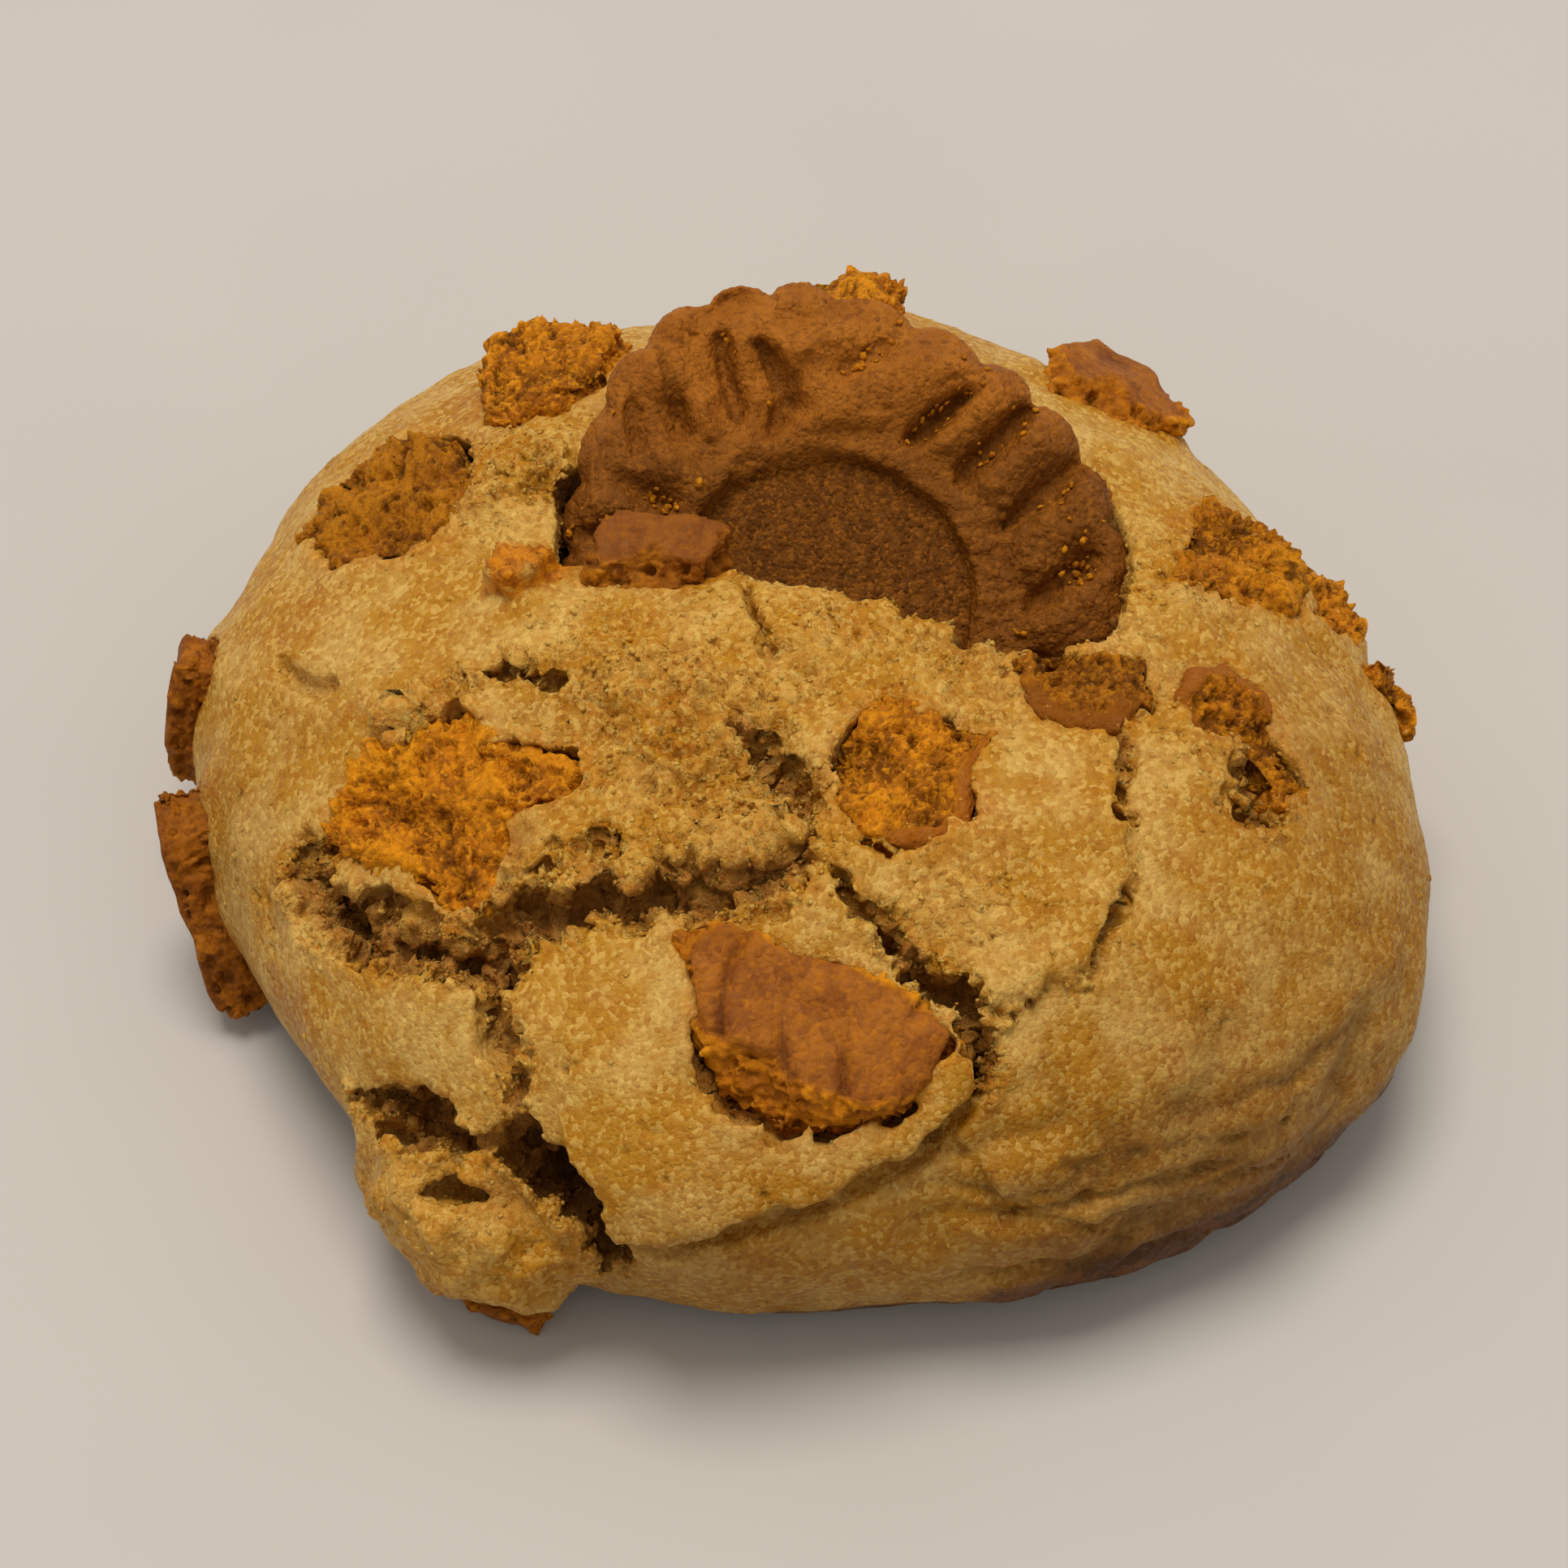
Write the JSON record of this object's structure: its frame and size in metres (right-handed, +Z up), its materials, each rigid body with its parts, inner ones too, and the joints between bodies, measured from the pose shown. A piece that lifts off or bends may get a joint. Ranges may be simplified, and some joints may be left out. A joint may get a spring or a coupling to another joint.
{
  "type": "soft cookie with biscuit pieces",
  "caption": "Thick soft cookie of pale dough with broken spiced biscuit pieces baked in and a round scalloped biscuit pressed into its top.",
  "frame": {"origin": "middle of the whole cookie's outline in plan, on the plane that its flat base rests on", "axes": "+Z up through the top, -Y towards the front with the torn flap and the large crust piece, +X to the right of that front"},
  "size_m": [0.0959, 0.0925, 0.039],
  "materials": {
    "dough": "matt, sugary and finely crumbed",
    "biscuit": "matt, smooth baked face",
    "crumb": "matt, open broken crumb",
    "crust": "matt, baked outer face of broken biscuit"
  },
  "bodies": {
    "root": {"dough": "dough", "round_biscuit": "biscuit", "chunk_back_left": "crumb", "chunk_left": "crumb", "chunk_by_biscuit": "crust", "chunk_left_edge": "crust", "chunk_left_low": "crust", "chunk_large_left": "crumb", "chunk_porous": "crumb", "chunk_right_inner": "crumb", "chunk_right_outer": "crumb", "chunk_right_shoulder": "crumb", "chunk_right_edge": "crumb", "chunk_right_rim": "crumb", "chunk_back_right": "crust", "chunk_back": "crumb", "chunk_front_crust": "crust", "chunk_under_flap": "crust"}
  },
  "joints": []
}
